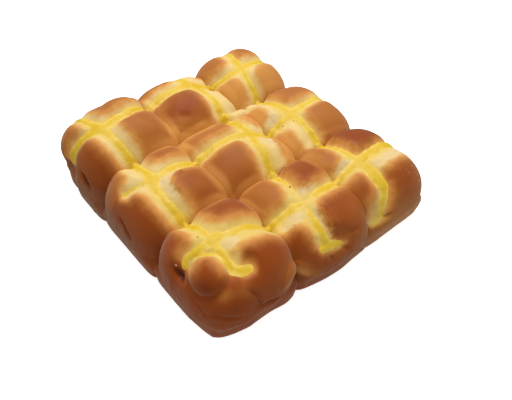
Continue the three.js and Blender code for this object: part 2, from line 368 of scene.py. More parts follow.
# Values kept on the bread for its finish
CUSTARD_RANGE = (-5, 20)  # of the distance to the custard
BROWNED_RANGE = (-20, 30)  # of the browned depth
LEAST_SHELTER = 0.2
SHELTER_RISE = (-4, 30)  # of a dome over its neighbour, by which shelter ends
CREASE_ANGLE = 0.7  # radians, past which a crease stays sharp

# Zones of the crust's finish, towards the front, back, right and left, then by height; the front zone
# places painted shade, and the right and back zones painted light
FRONT_ZONE = (-30, 60)
BACK_ZONE = (-20, 45)
RIGHT_ZONE = (-30, 70)
LEFT_ZONE = (80, 92)
SIDE_HEIGHTS = (24, 46)
TIN_HEIGHTS = (16, 21)
LEFT_WALL_RISE = 10  # how much higher the wall from the tin is on the left

# The stage, in metres
FLOOR_WIDTH = 8
LIGHT_PLACE = (0.32, 0.42, 1.05)
LIGHT_WIDTH = 1.1
CAMERA_PLACE = (-0.1854, -0.2245, 0.3154)
CAMERA_RIGHT = (0.7637, -0.6447, 0.0321)
CAMERA_UP = (0.4652, 0.5841, 0.665)
SENSOR_WIDTH = 36  # millimetres
NEAREST_SHOWN = 0.01


def srgb(red, green, blue):
    """A colour as it looks on a screen, 0 to 255, in the linear numbers that shaders take."""
    shares = (value / 255 for value in (red, green, blue))
    return tuple(s / 12.92 if s < 0.04045 else ((s + 0.055) / 1.055) ** 2.4 for s in shares)


LENGTH = {"precision": 4, "unit": "LENGTH"}


def number_setting(name, description, default, low, high, **shown):
    """A number that a user can change, and how it is shown."""
    return bpy.props.FloatProperty(
        name=name, description=description, default=default, min=low, max=high, **shown
    )


def colour_setting(name, description, *screen):
    """A colour that a user can change, given as it looks on a screen."""
    return bpy.props.FloatVectorProperty(
        name=name, description=description, default=srgb(*screen), subtype="COLOR"
    )


class BreadSettings(bpy.types.PropertyGroup):
    """Sizes and colours of the bread."""

    tin_depth: number_setting(
        "Tin depth",
        "Height of the straight wall that the tin gave the slab",
        17 * MM, 8 * MM, 30 * MM, **LENGTH,
    )
    groove_depth: number_setting(
        "Groove depth",
        "How far the dough stands up round a line of custard",
        4.6 * MM, 0, 8 * MM, **LENGTH,
    )
    fineness: bpy.props.IntProperty(
        name="Fineness",
        description="Number of facets across the dome of a bun",
        default=96,
        min=24,
        max=120,
    )
    crust_colour: colour_setting("Crust", "Colour of the browned cushions", 178, 107, 41)
    # the deep colour is real deep crust and also painted shade on the low sides and the front wall
    deep_and_shade_colour: colour_setting(
        "Deep crust", "Colour of the darkest crust, on the sides and the near cushions", 146, 64, 4
    )
    # the golden colour is real lighter crust and also painted light on the right and in the seams
    golden_and_lit_colour: colour_setting(
        "Golden crust", "Colour of lightly browned crust, as in the shelter of a bun", 212, 146, 68
    )
    dough_colour: colour_setting("Pale dough", "Colour of the dough that stayed unbrowned", 226, 196, 128)
    # the stained colour is the real stain beside the custard and also painted shade on the dough at the
    # front
    butter_and_shade_colour: colour_setting("Stained dough", "Colour of the dough beside the custard", 222, 190, 98)
    crumb_colour: colour_setting("Torn crumb", "Colour of the crumb where the crust tore", 221, 194, 138)
    # this colour paints shade in the slits and is also the real scorched crust
    slit_shade_and_scorch_colour: colour_setting("Slits", "Colour of the bottom of a slit in the crust", 92, 32, 8)
    wall_colour: colour_setting("Tin crust", "Colour of the wall that baked against the tin", 140, 80, 44)


class BitSettings(bpy.types.PropertyGroup):
    """Size and colours of the bits on the crust."""

    size: number_setting("Size", "How large the bits are, as a share of their own radius", 1, 0.3, 3)
    speck_colour: colour_setting("Dark specks", "Colour of the dark specks", 58, 34, 18)
    # the pale flecks are partly crumbs and partly painted glints of the crust's gloss
    fleck_and_glint_colour: colour_setting("Pale flecks", "Colour of the dry pale flecks", 214, 172, 134)


class CustardSettings(bpy.types.PropertyGroup):
    """Sizes and colours of the custard."""

    spread: number_setting("Spread", "Width of the custard, as a share of its grooves", 0.84, 0.5, 1.5)
    crown: number_setting(
        "Crown", "Height of a line's rounded top above the groove", 1.1 * MM, 0.5 * MM, 4 * MM, **LENGTH
    )
    custard_colour: colour_setting("Custard", "Colour of thick custard", 219, 180, 34)
    thin_colour: colour_setting("Thin custard", "Colour of custard where it thins out", 232, 202, 96)


class StageSettings(bpy.types.PropertyGroup):
    """The floor, the light and the camera's lens."""

    floor_colour: bpy.props.FloatVectorProperty(
        name="Floor", description="Colour of the plain floor", default=(0.94, 0.94, 0.94), subtype="COLOR"
    )
    floor_glow: number_setting("Floor glow", "Light of the floor's own, to keep shadows faint", 0.7, 0, 2)
    key_power: number_setting("Overhead light", "Power of the light overhead", 11.5, 0, 100, unit="POWER")
    fill: number_setting("Fill light", "Strength of the even light from all round", 0.6, 0, 2)
    lens: number_setting("Lens", "Focal length of the camera", 39.92, 15, 120, unit="CAMERA")


class Level:
    """A number that varies over a surface; sums with it add Math nodes."""

    def __init__(self, finish, socket):
        self.finish = finish
        self.socket = socket

    def math(self, operation, *values):
        """Adds a Math node for an operation on values."""
        sockets = dict(enumerate(values))
        return self.finish.node("ShaderNodeMath", {"operation": operation}, sockets)

    def __add__(self, other):
        return self.math("ADD", self, other)

    def __sub__(self, other):
        return self.math("SUBTRACT", self, other)

    def __mul__(self, other):
        return self.math("MULTIPLY", self, other)

    def __rsub__(self, other):
        return self.math("SUBTRACT", other, self)

    def __neg__(self):
        return 0 - self

    __radd__ = __add__
    __rmul__ = __mul__

    def step(self, low, high):
        """0 below low and 1 above high, with a smooth way between."""
        sockets = {"Value": self, "From Min": low, "From Max": high}
        return self.finish.node("ShaderNodeMapRange", {"interpolation_type": "SMOOTHSTEP"}, sockets)


class Finish:
    """The nodes of one finish."""

    def __init__(self, name):
        self.material = bpy.data.materials.new(name)
        self.material.use_nodes = True
        self.tree = self.material.node_tree
        self.surface = self.tree.nodes["Principled BSDF"]
        self.place = self.node("ShaderNodeTexCoord", output="Object")

    def node(self, kind, settings=None, sockets=None, output=0):
        """Adds a node with its settings, then the values or links of its sockets."""
        made = self.tree.nodes.new(kind)
        for name, value in (settings or {}).items():
            setattr(made, name, value)
        for name, value in (sockets or {}).items():
            self.feed(made.inputs[name], value)
        return Level(self, made.outputs[output])

    def feed(self, socket, value):
        """Links a level to a socket, or sets the socket to a plain value."""
        if isinstance(value, Level):
            self.tree.links.new(value.socket, socket)
        elif hasattr(value, "__len__") and len(value) == 3 and socket.type == "RGBA":
            socket.default_value = (*value, 1)
        else:
            socket.default_value = value

    def paint(self, **sockets):
        """Feeds the surface; an underscore in a name stands for a space."""
        for name, value in sockets.items():
            self.feed(self.surface.inputs[name.replace("_", " ")], value)
        return self.material

    def mix(self, share, low, high):
        """A colour between two colours, which are a Mix node's sockets 6 and 7 and its output 2."""
        return self.node("ShaderNodeMix", {"data_type": "RGBA"}, {0: share, 6: low, 7: high}, output=2)

    def speckle(self, size_mm, detail=2, roughness=0.5, place=None):
        """Even noise from 0 to 1 with lumps of a size."""
        sockets = {
            "Vector": place or self.place,
            "Scale": 1 / (size_mm * MM),
            "Detail": detail,
            "Roughness": roughness,
        }
        return self.node("ShaderNodeTexNoise", None, sockets)

    def lumps(self, *grain):
        """Even noise from -0.5 to 0.5, given as a speckle is."""
        return self.speckle(*grain) - 0.5

    def place_along(self, axis):
        """The place along an axis, in millimetres."""
        return self.node("ShaderNodeSeparateXYZ", None, {"Vector": self.place}, output=axis) * (1 / MM)

    def stretched(self, *shares):
        """Places drawn out along the axes whose share is below 1."""
        sockets = {0: self.place, 1: shares}
        return self.node("ShaderNodeVectorMath", {"operation": "MULTIPLY"}, sockets)

    def bump(self, height, depth_mm):
        """Fine relief of a depth, for the surface's normal."""
        sockets = {"Height": height, "Strength": 1, "Distance": depth_mm * MM}
        return self.node("ShaderNodeBump", None, sockets)

    def value(self, name):
        """A number that is kept on the piece's vertices."""
        return self.node("ShaderNodeAttribute", {"attribute_name": name}, output="Fac")


class CrustFinish(Finish):
    """Satin crust: pale beside the custard, brown on the cushions and dull where the tin was, with
    painted shade towards the front and left and painted light towards the right and back.
    """

    def __init__(self, colours):
        super().__init__("crust")
        self.colours = colours
        x, y, self.height = (self.place_along(axis) for axis in "XYZ")
        self.near, self.far = (-y).step(*FRONT_ZONE), y.step(*BACK_ZONE)
        self.left, self.right = (-x).step(*LEFT_ZONE), x.step(*RIGHT_ZONE)
        self.broad, self.medium = self.lumps(24), self.lumps(7)
        self.fine, self.pores = self.lumps(2.2, 3, 0.6), self.lumps(0.8, 2, 0.6)
        self.shreds = self.lumps(1.5, 3, 0.7, self.stretched(0.35, 1, 1))
        self.streaks = self.lumps(2.5, 2, 0.6, self.stretched(1, 1, 0.25))
        self.torn, self.outside = self.value("torn"), self.value("outside")
        self.shelter = self.value("shelter") * (1 - self.outside * 0.6)
        self.dark = self.value("dark") + self.broad * 0.5 - self.shelter * 0.35
        self.browned = self.value("browned") * (1 + self.torn) + self.medium * 4 + self.fine * 2.5
        self.browned += self.shreds * self.torn * 10

    def dough(self):
        """Colour of the dough: stained buttery by the custard, darker and yellower towards the front as
        painted shade that fades to the right, and creamy where it tore.
        """
        beside = 1 - self.value("to_custard").step(-0.5, 2)
        # painted shade: towards the front the dough is mixed towards the stained colour, less so on the
        # right
        stain_and_front_shade = beside + self.near * (1 - self.right * 0.7) * (0.75 + self.medium)
        colour = self.mix(stain_and_front_shade.step(0, 1), self.colours.dough_colour, self.colours.butter_and_shade_colour)
        cream = (self.shreds * 1.6 + self.torn * 0.4).step(0, 0.5) * (0.4 + self.torn * 0.6)
        return self.mix(cream, colour, self.colours.crumb_colour)

    def cushions(self, dough):
        """Colour of the dough with its browned cushions, golden at their edges and in shelter, where part
        of the gold is painted light.
        """
        golden, deep = self.colours.golden_and_lit_colour, self.colours.deep_and_shade_colour
        baked = self.mix(self.dark.step(0.05, 0.5), golden, self.colours.crust_colour)
        baked = self.mix(self.dark.step(0.5, 1.15) * self.browned.step(1, 9), baked, deep)
        # real paler crust in the shelter of the seams, strengthened as painted light that lifts the shade
        # there, more so towards the back
        baked = self.mix(self.shelter.step(0.3, 0.95) * (0.35 + self.far * 0.4), baked, golden)
        baked = self.mix(self.dark.step(1.15, 1.9) * 0.6, baked, self.colours.slit_shade_and_scorch_colour)
        colour = self.mix(self.browned.step(-5, 1), dough, golden)
        return self.mix(self.browned.step(-2, 5), colour, baked)

    def sides(self, top):
        """Colour of the crust with its outer sides: a deeper crust low down, partly real and partly
        painted shade on the left and front, and golden painted light on the right.
        """
        low = 1 - (self.height + self.broad * 8).step(*SIDE_HEIGHTS)
        side = low * self.outside * self.browned.step(-1, 5)
        # painted shade over the real deeper crust: the low sides are mixed towards the deep colour,
        # except on the right
        deep = side * (1 - self.right) * self.dark.step(0.2, 0.9) * 0.8
        colour = self.mix(deep, top, self.colours.deep_and_shade_colour)
        # painted light: the low sides turn golden on the right
        return self.mix(side * self.right * 0.3, colour, self.colours.golden_and_lit_colour)

    def tin_share(self):
        """1 on the wall that baked against the tin, with an uneven upper edge."""
        height = self.height - self.left * LEFT_WALL_RISE
        uneven = height + self.broad * 7 + self.medium * 4 + self.fine * 2
        return (1 - uneven.step(*TIN_HEIGHTS)) * self.outside

    def wall(self):
        """Colour of the wall that baked against the tin, with scorched streaks, painted shade towards the
        front and painted light on the right.
        """
        scorch = (self.medium + self.fine * 0.8 + self.streaks).step(-0.1, 0.4) * (1 - self.right * 0.7)
        # real scorched streaks, weaker on the right as painted light, plus painted shade on the front
        # wall, less on the right
        deep = scorch * 0.45 + self.near * (0.85 - self.right * 0.65) * self.dark.step(-0.2, 0.8)
        # painted light: the wall turns golden towards the right
        colour = self.mix(self.right * 0.6, self.colours.wall_colour, self.colours.golden_and_lit_colour)
        return self.mix(deep.step(0, 1), colour, self.colours.deep_and_shade_colour)

    def baked(self):
        """The whole crust, with painted shade in its slits, fine pores and a bloom of flour."""
        tin = self.tin_share()
        colour = self.mix(tin, self.sides(self.cushions(self.dough())), self.wall())
        # painted shade: the slits are darkened the deeper they cut
        colour = self.mix(self.value("slit").step(0.6, 2.8) * 0.8, colour, self.colours.slit_shade_and_scorch_colour)
        relief = self.bump(self.fine * 0.6 + self.pores * 0.4 + self.shreds * self.torn * 2, 0.2)
        rough = 0.46 + self.fine * 0.2 + tin * 0.2 + (1 - self.browned.step(-2, 4)) * 0.25
        self.paint(Sheen_Weight=0.28, Sheen_Roughness=0.45, Sheen_Tint=(1, 0.84, 0.64))
        return self.paint(Base_Color=colour, Roughness=rough, Normal=relief, Specular_IOR_Level=0.14)


def custard_finish(colours):
    """Baked custard: deep yellow where it is thick, and paler where it thins out."""
    finish = Finish("custard")
    fine, broad = finish.lumps(2.2, 3, 0.6), finish.lumps(9)
    thick = (finish.value("reach") + broad * 7 + fine * 4).step(-1.5, 3)
    colour = finish.mix(thick, colours.thin_colour, colours.custard_colour)
    relief = finish.bump(fine, 0.3)
    rough = 0.45 + fine * 0.2
    return finish.paint(Base_Color=colour, Roughness=rough, Normal=relief, Specular_IOR_Level=0.35)


def bit_finish(name, tone):
    """A small bit, a little uneven in colour."""
    finish = Finish(name)
    grain = finish.speckle(0.5)
    colour = finish.mix(grain * 0.5, tone, tuple(0.5 * part for part in tone))
    return finish.paint(Base_Color=colour, Roughness=0.4 + grain * 0.3, Specular_IOR_Level=0.4)


def bell(distance, reach):
    """A rounded hump: 1 at no distance, falling off over its reach."""
    return np.exp(-((distance / reach) ** 2))


def smooth(value, low, high):
    """0 below low and 1 above high, with a smooth way between."""
    share = np.clip((value - low) / (high - low), 0, 1)
    return share * share * (3 - 2 * share)


def ramp(value, height, low, high):
    """0 below low and the height above high, with a smooth way between."""
    return height * smooth(value, low, high)


def bulge(value, height, middle, reach):
    """A rounded hump of a height about its middle."""
    return height * bell(value - middle, reach)


def hump_sum(humps, x, y):
    """Height of several humps in plan, each given by its middle, reach and height."""
    return sum(height * bell(np.hypot(x - hx, y - hy), reach) for hx, hy, reach, height in humps)


def ripple(points, size, seed):
    """Even noise from about -1 to 1 at each point, with lumps of a size."""
    places = (points + seed * SEED_SHIFT) / size
    return np.array([noise.noise(Vector(place)) for place in places])


def two_ripples(points, sizes, seed):
    """Noise with lumps of two sizes, the finer ones weaker."""
    coarse, fine = sizes
    return ripple(points, coarse, seed) + FINER_SHARE * ripple(points, fine, seed + 1)


def curve_through(points, step):
    """Points at even steps along a smooth curve through the given ones, with the widths there."""
    knots = np.array(points, float)
    ends = np.vstack([knots[:1], knots, knots[-1:]])
    t = np.linspace(0, 1, CURVE_STEPS, endpoint=False)[:, None]
    parts = []
    for a, b, c, d in zip(ends, ends[1:], ends[2:], ends[3:]):
        start, stop = (c - a) / 2, (d - b) / 2
        bend = (2 * b - 2 * c + start + stop) * t**3 + (3 * c - 3 * b - 2 * start - stop) * t**2
        parts.append(bend + start * t + b)
    dense = np.vstack([*parts, knots[-1:]])
    way = np.concatenate([[0], np.cumsum(np.linalg.norm(np.diff(dense[:, :2], axis=0), axis=1))])
    even = np.linspace(0, way[-1], max(2, round(way[-1] / step)) + 1)
    return np.stack([np.interp(even, way, dense[:, i]) for i in range(3)], axis=1)


LINE_CURVES = [curve_through(sum(strokes, ()), LINE_STEP) for strokes in (*ROWS, *COLUMNS)]
SPILL_CURVES = [curve_through(points, LINE_STEP) for points in SPILLS]
STROKE_CURVES = [curve_through(stroke, STROKE_STEP) for stroke in (*sum((*ROWS, *COLUMNS), ()), *SPILLS)]


def line_distances(curves, x, y):
    """Distance in plan from each point to each line of custard, below 0 on its right, and the half
    width of the line there; one column a line."""
    place = np.stack([x, y], axis=1)
    shape = (len(place), len(curves))
    nearest, side, width = np.full(shape, np.inf), np.ones(shape), np.ones(shape)
    for number, curve in enumerate(curves):
        for a, b in zip(curve, curve[1:]):
            ahead = b[:2] - a[:2]
            along = np.clip((place - a[:2]) @ ahead / (ahead @ ahead), 0, 1)
            off = place - a[:2] - along[:, None] * ahead
            apart = np.hypot(off[:, 0], off[:, 1])
            closer = apart < nearest[:, number]
            nearest[closer, number] = apart[closer]
            turn = ahead[0] * off[:, 1] - ahead[1] * off[:, 0]
            side[closer, number] = np.where(turn < 0, -1, 1)[closer]
            width[closer, number] = (a[2] + along * (b[2] - a[2]))[closer]
    return nearest * side, width


def edge_share(x, y):
    """How far out from the slab's middle points in plan lie, as a share of the way to its sides."""
    return np.maximum(abs(x) / HALF_WIDTH, abs(y) / HALF_LENGTH)


def outer_share(x, y):
    """1 on the outer sides of the slab and 0 away from them."""
    return smooth(edge_share(x, y), *OUTER_ZONE)


def corner_power(bun, dx, dy, powers):
    """How square a bun's plan is towards a direction, from the sides there that press on a bun."""
    pressed_x = (abs(bun.x) < bun.half_x / 2) | (bun.x * dx < 0)
    pressed_y = (abs(bun.y) < bun.half_y / 2) | (bun.y * dy < 0)
    return np.array(powers)[pressed_x.astype(int) + pressed_y.astype(int)]


def plan_length(bun, dx, dy, powers):
    """Length of a step from a bun's middle, where 1 reaches the outline of its plan."""
    power = corner_power(bun, dx, dy, powers)
    return (abs(dx) ** power + abs(dy) ** power) ** (1 / power)


def plan_reach(bun, dx, dy, powers):
    """How many such steps reach the outline of a bun's plan, or none where the step has no length."""
    length = plan_length(bun, dx, dy, powers)
    return np.divide(1, length, out=np.zeros_like(length), where=length > 0)


def rim_share(bun, x, y):
    """How far out a point in plan lies on a bun: 0 at its middle and 1 at its rim."""
    return plan_length(bun, (x - bun.x) / bun.half_x, (y - bun.y) / bun.half_y, FREE_POWERS)


def dome_heights(x, y, tin_depth):
    """Height of each bun's dome above the tin's rim in plan, one column a bun."""
    shares = [rim_share(bun, x, y) / LIP_SHARE for bun in BUNS.values()]
    rises = [bun.top - tin_depth for bun in BUNS.values()]
    domes = [np.clip(1 - s**DOME_POWER, 0, 1) ** (1 / DOME_POWER) for s in shares]
    return np.stack([rise * dome for rise, dome in zip(rises, domes)], axis=1)


def own_bun(x, y, tin_depth):
    """Number of the bun that each point in plan belongs to."""
    past_rim = [np.maximum(rim_share(bun, x, y) - OWN_SHARE, 0) for bun in BUNS.values()]
    return np.argmax(dome_heights(x, y, tin_depth) - OWN_DROP * np.stack(past_rim, axis=1), axis=1)


def dome_profile(share):
    """Width and height of a dome's outline at even shares of the way from its top to its rim."""
    turn = np.linspace(0, np.pi / 2, PROFILE_STEPS)
    width, height = np.sin(turn) ** (2 / DOME_POWER), np.cos(turn) ** (2 / DOME_POWER)
    way = np.concatenate([[0], np.cumsum(np.hypot(np.diff(width), np.diff(height)))])
    return np.interp(share * way[-1], way, width), np.interp(share * way[-1], way, height)


def corner_depth(u, v, radius):
    """How far a point lies inside a corner with a rounded tip, from its depth past each side."""
    short_u, short_v = radius - u, radius - v
    tip = np.hypot(np.maximum(short_u, 0), np.maximum(short_v, 0))
    return radius - tip - np.minimum(np.maximum(short_u, short_v), 0)


def custard_beds(points, tin_depth):
    """For points on the bread: distance in plan to the edge of the custard, depth inside the browned
    part of a cushion (below 0 outside it), and how dark that cushion is."""
    x, y, z = points.T
    away, width = line_distances(LINE_CURVES, x, y)
    spill_away, spill_width = line_distances(SPILL_CURVES, x, y)
    to_spill = (abs(spill_away) - spill_width).min(axis=1)
    to_custard = np.minimum((abs(away) - width).min(axis=1), to_spill)
    own = own_bun(x, y, tin_depth)
    outer = outer_share(x, y)
    browned, dark = np.zeros_like(x), np.zeros_like(x)
    for number, (name, cushions) in enumerate(CUSHIONS.items()):
        mine = own == number
        row = away[mine, number // len(COLUMNS)]
        column = away[mine, len(ROWS) + number % len(COLUMNS)]
        far, right = (smooth(way, -CUSHION_BLEND, CUSHION_BLEND) for way in (row, column))
        shares = (far * (1 - right), far * right, (1 - far) * (1 - right), (1 - far) * right)
        from_row, from_column, shade = (
            sum(share * cushion[i] for share, cushion in zip(shares, cushions)) for i in range(3)
        )
        below = np.maximum(PALE_FLOORS.get(name, PALE_FLOOR) - z[mine], 0) * outer[mine]
        inside = corner_depth(abs(row) - from_row, abs(column) - from_column, CUSHION_CORNER)
        browned[mine] = inside + PALE_END_SLOPE * below
        dark[mine] = shade
    beside_spill = SPILL_SLOPE * (to_spill + SPILL_OVERLAP + np.maximum(PALE_FLOOR - z, 0))
    browned = np.minimum(browned, beside_spill) - hump_sum(PALE_SPOTS, x, y)
    return to_custard + GROOVE_END_SLOPE * np.maximum(GROOVE_FLOOR - z, 0) * outer, browned, dark


def tear_share(x, y):
    """How far the crust tore at points in plan."""
    tears = [np.exp(-(((x - tx) / rx) ** 2) - ((y - ty) / ry) ** 2) for tx, ty, rx, ry in TEARS]
    return smooth(np.max(tears, axis=0), *TEAR_SHARES)


def tone_and_light_change(points):
    """How much darker the crust is at each point than the rest of its cushion, with the painted light and
    shade that the table holds.
    """
    away = [np.linalg.norm(points - place, axis=1) for place, _, _ in TONE_AND_LIGHT_SPOTS]
    return sum(change * bell(far, reach) for far, (_, reach, change) in zip(away, TONE_AND_LIGHT_SPOTS))


def bun_outward(points, buns):
    """Directions in which the dough rose at points, from the bun that each of them is on."""
    outward = points - np.stack([buns[:, 0], buns[:, 1], np.full(len(points), RISE_HEIGHT)], axis=1)
    return outward / np.linalg.norm(outward, axis=1)[:, None]


def ball_swell(points):
    """How far the cushions that rose into balls stand out, with a crease round each."""
    swell = np.zeros(len(points))
    for middle, radius, height, crease in BALLS:
        share = np.linalg.norm(points - middle, axis=1) / radius
        round_top = np.clip(1 - share**2, 0, 1) ** BALL_POWER
        swell += height * (round_top - crease * bell(share - CREASE_PLACE, CREASE_WIDTH))
    return swell


def slit_depth(points, outward):
    """How deep the slits and folds cut in at each point, from its distance to them across the outward
    direction."""
    depth = np.zeros(len(points))
    for start, stop, reach, deep in SLITS:
        start, way = np.array(start), np.subtract(stop, start)
        along = np.clip((points - start) @ way / (way @ way), 0, 1)
        off = points - start - along[:, None] * way
        inward = (off * outward).sum(axis=1)
        apart = np.linalg.norm(off - inward[:, None] * outward, axis=1)
        share = np.sin(np.pi * (SLIT_TAPER + (1 - 2 * SLIT_TAPER) * along)) * bell(apart, reach)
        depth = np.maximum(depth, deep * share * (abs(inward) < SLIT_CUTS * deep))
    return depth


def groove_depth(points, clear, to_custard, browned, full_depth):
    """How deep the grooves under the custard are, with even flanks where a bun isn't clear of others."""
    x, y, _ = points.T
    steepest, even, flattest = FLANK_WIDTHS
    edge = np.clip(browned, to_custard - flattest, to_custard - steepest)
    edge = edge * clear + (to_custard - even) * (1 - clear)
    flank = np.maximum(to_custard - np.minimum(edge, 0), LEAST_FLANK)
    way = np.where(edge < 0, to_custard / flank, 1 + edge / SHOULDER)
    shallow = FAR_SHALLOWS * smooth(np.maximum(x / HALF_WIDTH, y / HALF_LENGTH), *SHALLOW_ZONE)
    return full_depth * (1 - smooth(way, *GROOVE_SHARES)) * (1 - shallow)


def torn_relief(points, browned):
    """How far the edge of the crust stands up where it tore, and the crumb lies below it."""
    crumb = two_ripples(points, CRUMB_SIZES, CRUMB_SEED)
    cushion = smooth(browned + CRUMB_RAGGED * crumb, -1, 1)
    height = cushion + (1 - cushion) * (CRUMB_HEIGHT * crumb - CRUMB_SINK)
    return TEAR_DEPTH * tear_share(points[:, 0], points[:, 1]) * height


def wall_wrinkles(points):
    """How far the wrinkles in the outer walls stand out."""
    x, y, z = points.T
    large, small = WRINKLE_SIZES
    wall = outer_share(x, y) * (1 - smooth(z, *WRINKLE_HEIGHTS)) * (z > WRINKLE_START)
    wrinkles = ripple(points * WRINKLE_STRETCH, large, WALL_SEED)
    return WALL_WRINKLE * wall * (wrinkles + SMALL_WRINKLES * ripple(points, small, WALL_SEED + 1))


def settle_foot(bun, x, y, z, foot, left, front):
    """Places in plan with the foot of the slab drawn in from its buns, or bulging past them."""
    y = y + FRONT_SETBACK * foot * (bun.y < -bun.half_y)
    if bun == BUNS["front_left"]:
        y = y + foot * front * ramp(-x, *NEAR_CORNER_FRONT)
        x = x + foot * left * ramp(-y, *NEAR_CORNER_LEFT)
        y = y - foot * front * bulge(x, *NEAR_LOBE)
    if bun == BUNS["front_middle"]:
        y = y + foot * front * (ramp(-x, *MIDDLE_FRONT) - bulge(x, *MIDDLE_LOBE))
    if bun == BUNS["back_left"]:
        low = np.maximum(foot, 1 - smooth(z, *FAR_CORNER_HEIGHTS))
        x = x + low * left * ramp(y, *FAR_CORNER_LEFT)
    return x, y


def plain_skin(bun, sheet, tin_depth):
    """Places of a rising sheet's points on the plain skin of a bun."""
    u, v, row = sheet[:, 0], sheet[:, 1], np.rint(-sheet[:, 2]).astype(int)
    ring = np.maximum(abs(u), abs(v))
    du, dv = (np.divide(w, ring, out=np.zeros_like(w), where=ring > 0) for w in (u, v))
    free, footed = (plan_reach(bun, du, dv, powers) for powers in (FREE_POWERS, FOOT_POWERS))
    width, height = dome_profile(ring)
    wall_share, wall_height, foot = np.array([(LIP_SHARE, 1, 0), *WALL_ROWS, (0, 0, 1)])[row].T
    share = np.where(row > 0, wall_share, LIP_SHARE * width) * (free * (1 - foot) + footed * foot)
    z = np.where(row > 0, tin_depth * wall_height, tin_depth + (bun.top - tin_depth) * height)
    x, y = bun.x + share * du * bun.half_x, bun.y + share * dv * bun.half_y
    x, y = settle_foot(bun, x, y, z, foot, du < 0, dv < 0)
    return np.stack([x, y, z], axis=1)


def bun_points(bun, sheet, settings):
    """Places of a rising sheet's points on a bun, with its grooves, balls, tears, slits and seams."""
    tin_depth = settings.tin_depth / MM
    points = plain_skin(bun, sheet, tin_depth)
    x, y, z = points.T
    domes = dome_heights(x, y, tin_depth)
    others = np.delete(domes, list(BUNS.values()).index(bun), axis=1).max(axis=1)
    above = z - tin_depth - others
    clear = smooth(above, 0, SEAM_CLEARANCE)
    to_custard, browned, _ = custard_beds(points, tin_depth)
    groove = groove_depth(points, clear, to_custard, browned, settings.groove_depth / MM)
    outward = bun_outward(points, np.array([bun] * len(points)))
    relief = (ball_swell(points) - hump_sum(DIMPLES, x, y) - groove) * smooth(z, *RELIEF_HEIGHTS)
    relief += clear * torn_relief(points, browned)
    relief += wall_wrinkles(points)
    relief -= slit_depth(points, outward)
    rise = SEAM_RISE * np.exp(-np.maximum(above, 0) / SEAM_REACH) * smooth(others, 0, SEAM_NEIGHBOUR)
    return points + outward * relief[:, None] + rise[:, None] * (0, 0, 1)


def coordinates(piece):
    """The piece's vertices, in millimetres."""
    flat = np.empty(len(piece.data.vertices) * 3, np.float32)
    piece.data.vertices.foreach_get("co", flat)
    return flat.reshape(-1, 3).astype(float) / MM


def move_vertices(piece, points):
    """Puts the piece's vertices at points in millimetres."""
    piece.data.vertices.foreach_set("co", (points * MM).astype(np.float32).ravel())
    piece.data.update()


def keep_value(piece, name, values):
    """Keeps a number on every vertex of the piece."""
    attribute = piece.data.attributes.new(name, "FLOAT", "POINT")
    attribute.data.foreach_set("value", np.asarray(values, np.float32))


def dress(piece, material):
    """Gives the piece one finish all over."""
    piece.data.materials.clear()
    piece.data.materials.append(material)


def pick(*pieces):
    """Selects these pieces alone and makes the first one active."""
    bpy.ops.object.select_all(action="DESELECT")
    for piece in pieces:
        piece.select_set(True)
    bpy.context.view_layer.objects.active = pieces[0]


def apply_modifier(piece, kind, **settings):
    """Adds a modifier to the piece and applies it."""
    modifier = piece.modifiers.new(kind.title(), kind)
    for name, value in settings.items():
        setattr(modifier, name, value)
    pick(piece)
    bpy.ops.object.modifier_apply(modifier=modifier.name)


def drop_scraps(piece):
    """Takes off scraps of skin that lie loose from the piece, and gives back what is left."""
    pick(piece)
    bpy.ops.mesh.separate(type="LOOSE")
    parts = sorted(bpy.context.selected_objects, key=lambda part: -len(part.data.polygons))
    kept = [part for part in parts if len(part.data.polygons) > SCRAP_FACES]
    for part in parts[len(kept) :]:
        bpy.data.objects.remove(part)
    pick(*kept)
    if len(kept) > 1:
        bpy.ops.object.join()
    return kept[0]


def rising_sheet(name, cells):
    """A square sheet with its border drawn down into rows and closed underneath. It runs from -1 to 1
    metre, with its rows a metre apart, for a bun's skin to take its shares from."""
    bpy.ops.object.select_all(action="DESELECT")
    bpy.ops.mesh.primitive_grid_add(x_subdivisions=cells, y_subdivisions=cells, size=2)
    piece = bpy.context.object
    piece.name = name
    bpy.ops.object.mode_set(mode="EDIT")
    bpy.ops.mesh.select_mode(type="EDGE")
    bpy.ops.mesh.select_all(action="SELECT")
    bpy.ops.mesh.region_to_loop()
    for _ in range(len(WALL_ROWS) + 1):
        bpy.ops.mesh.extrude_edges_move(TRANSFORM_OT_translate={"value": (0, 0, -1)})
    bpy.ops.mesh.merge(type="CENTER")
    bpy.ops.object.mode_set(mode="OBJECT")
    return piece


def core_piece():
    """The dough that closed up under the corners of four buns: a cube cut fine, sized, and raised in the
    pits and seams."""
    bpy.ops.object.select_all(action="DESELECT")
    bpy.ops.mesh.primitive_cube_add(size=1, location=(0, 0, 0.5))
    piece = bpy.context.object
    bpy.ops.object.mode_set(mode="EDIT")
    bpy.ops.mesh.subdivide(number_cuts=CORE_CUTS)
    bpy.ops.object.mode_set(mode="OBJECT")
    bpy.ops.object.transform_apply()
    points = coordinates(piece) * MM * CORE_SIZE
    top = np.isclose(points[:, 2], CORE_SIZE[2])
    points[:, 2] += top * hump_sum(PITS + BRIDGES, points[:, 0], points[:, 1])
    move_vertices(piece, points)
    return piece


